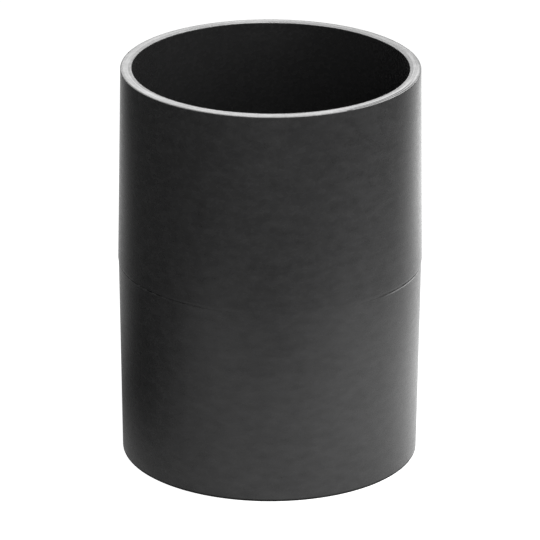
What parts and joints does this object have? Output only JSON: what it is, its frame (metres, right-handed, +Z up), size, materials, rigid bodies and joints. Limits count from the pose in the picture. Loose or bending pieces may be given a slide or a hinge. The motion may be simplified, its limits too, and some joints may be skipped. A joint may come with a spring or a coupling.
{
  "type": "pvc conduit coupling",
  "caption": "Plain round PVC conduit coupling: a thin-walled straight sleeve with a socket at each end, a stop ring inside and a moulding seam round its middle.",
  "frame": {"origin": "centre of the bottom end face, on the surface that the coupling stands on", "axes": "+Z up along the bore; the coupling is round, so X and Y have no meaning of their own"},
  "size_m": [0.1272, 0.1272, 0.1685],
  "materials": {
    "moulded_pvc": "satin moulded walls, with dull paler faced ends"
  },
  "bodies": {
    "root": {"coupling": "moulded_pvc"}
  },
  "joints": []
}
